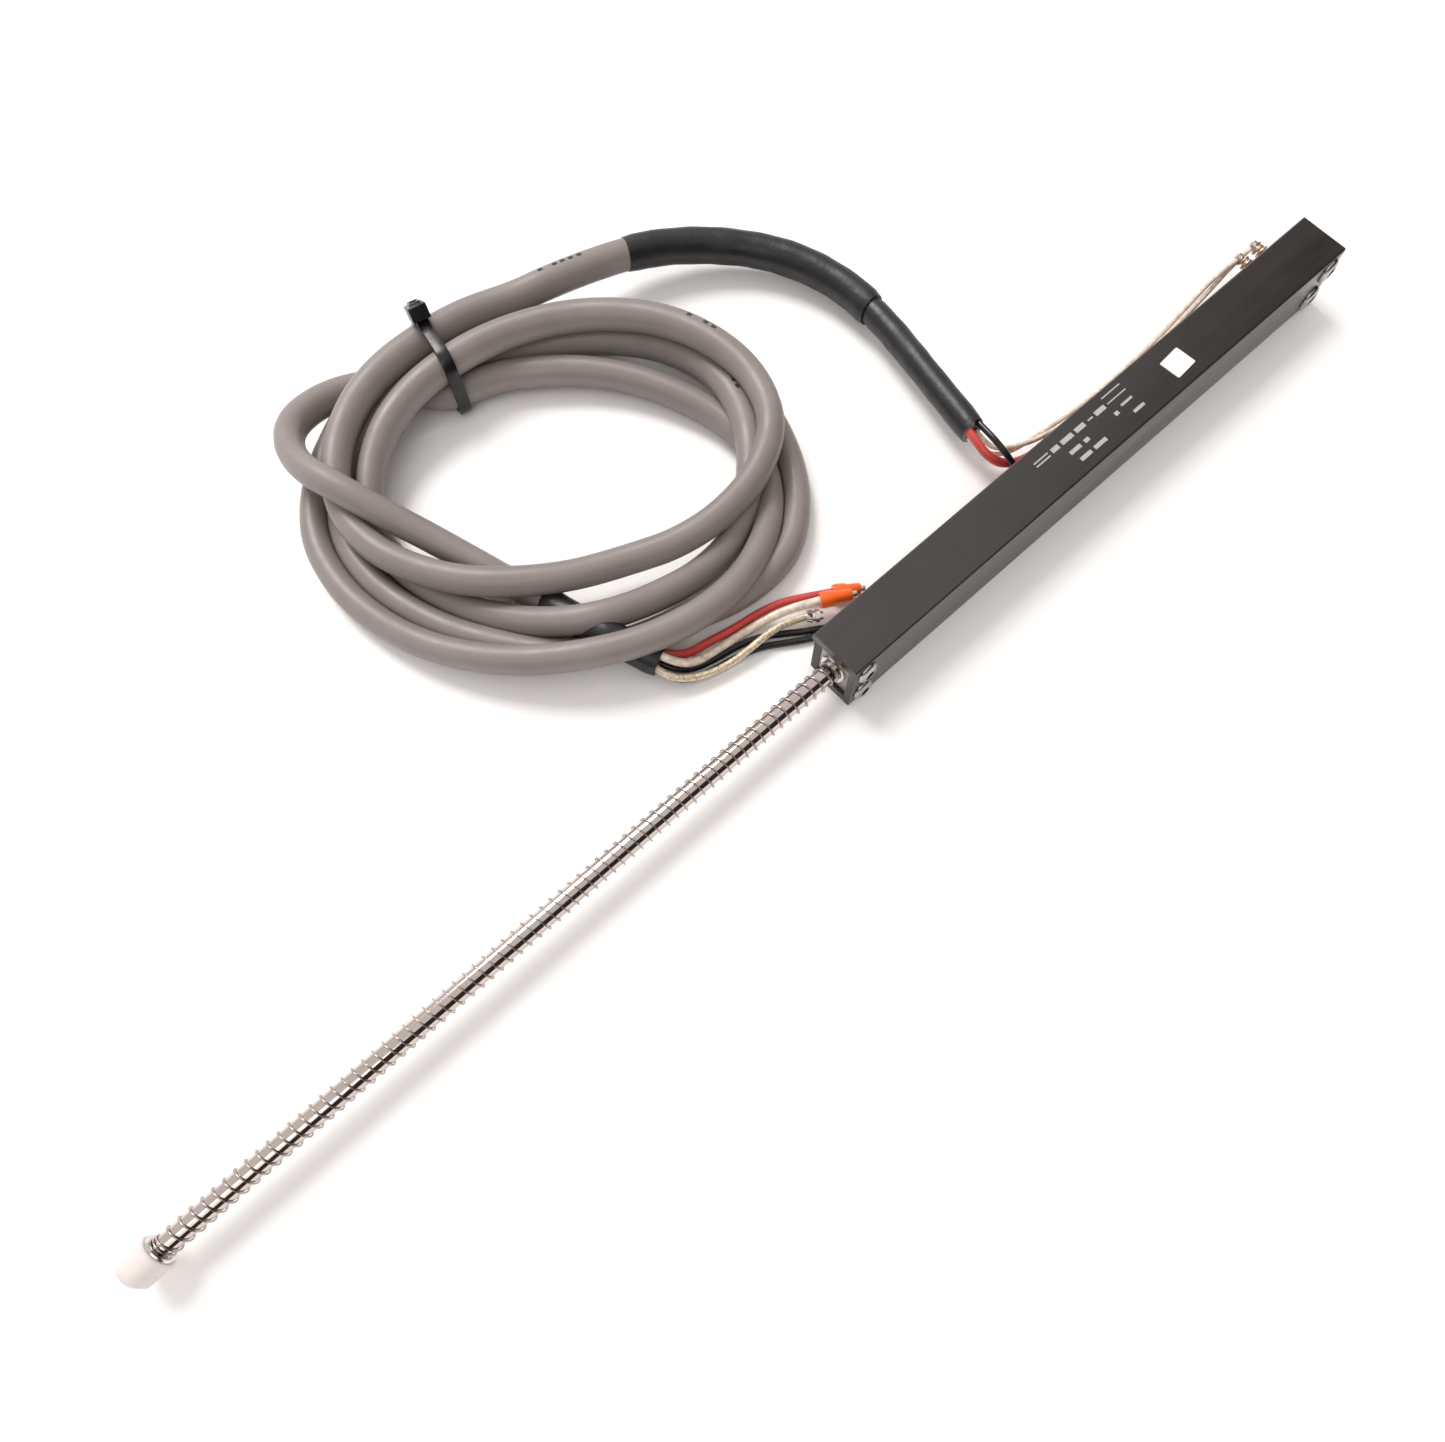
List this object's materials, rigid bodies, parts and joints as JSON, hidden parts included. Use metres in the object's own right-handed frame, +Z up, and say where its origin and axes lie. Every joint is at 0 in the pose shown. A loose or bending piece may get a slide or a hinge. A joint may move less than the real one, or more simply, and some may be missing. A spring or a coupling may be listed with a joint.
{
  "type": "linear position sensor",
  "caption": "Spring-return linear position sensor: square housing, long sprung push rod with a plastic tip, and a tied coil of cable.",
  "frame": {"origin": "middle of the housing's flat bottom face", "axes": "+X along the shaft from the housing to the tip, +Z up out of the housing's top face, +Y towards the side with the button-head screws"},
  "size_m": [0.3356, 0.1381, 0.0186],
  "materials": {
    "black_anodised": "satin",
    "black_plastic": "satin",
    "beige_metal": "satin",
    "polished_steel": "polished",
    "spring_steel": "satin",
    "screw_steel": "satin",
    "bright_metal": "satin",
    "brass": "satin",
    "ivory_plastic": "satin",
    "white_plastic": "matte",
    "grey_rubber": "matte",
    "board": "matte",
    "carbon_track": "matte",
    "label_white": "matte",
    "grey_jacket": "satin",
    "heat_shrink": "satin",
    "nylon_black": "satin",
    "red_wire": "gloss",
    "black_wire": "gloss",
    "clear_wire": "gloss",
    "shield_braid": "satin",
    "orange_plastic": "gloss"
  },
  "bodies": {
    "housing": {"housing": "black_anodised", "side_cover": "black_plastic", "front_block": "beige_metal", "rear_block": "beige_metal", "front_bushing": "bright_metal", "shaft_seal": "grey_rubber", "front_cushion": "grey_rubber", "rear_cushion": "grey_rubber", "element_board": "board", "collector_track": "brass", "resistive_track": "carbon_track", "terminal_pins": "brass", "terminal_collars": "white_plastic", "solder_beads": "bright_metal", "return_spring": "spring_steel", "front_screws": "screw_steel", "rear_screws": "screw_steel", "cover_screws": "screw_steel", "label_sticker": "label_white", "sleeve_front": "heat_shrink", "sleeve_rear": "heat_shrink", "cable_lead": "grey_jacket", "cable_coil": "grey_jacket", "cable_tie": "nylon_black", "end_sleeve": "heat_shrink", "wire_red": "red_wire", "wire_clear": "clear_wire", "wire_black_inner": "black_wire", "wire_black_outer": "black_wire", "wire_shield": "shield_braid", "crimp_clear": "orange_plastic", "crimp_red": "orange_plastic", "shield_lug": "bright_metal", "lead_red": "red_wire", "lead_black": "black_wire", "lead_clear_upper": "clear_wire", "lead_clear_lower": "clear_wire"},
    "rod": {"shaft": "polished_steel", "wiper_carriage": "white_plastic", "wiper_brush": "brass", "carriage_clip": "spring_steel", "spring_washer": "bright_metal", "contact_tip": "ivory_plastic"}
  },
  "joints": [
    {"name": "rod_slide", "type": "slide", "parent": "housing", "child": "rod", "axis": [-1, 0, 0], "range_m": [0, 0.1], "stiffness_N_per_m": 30, "springref_m": -0.03, "deforming": ["return_spring"]}
  ]
}
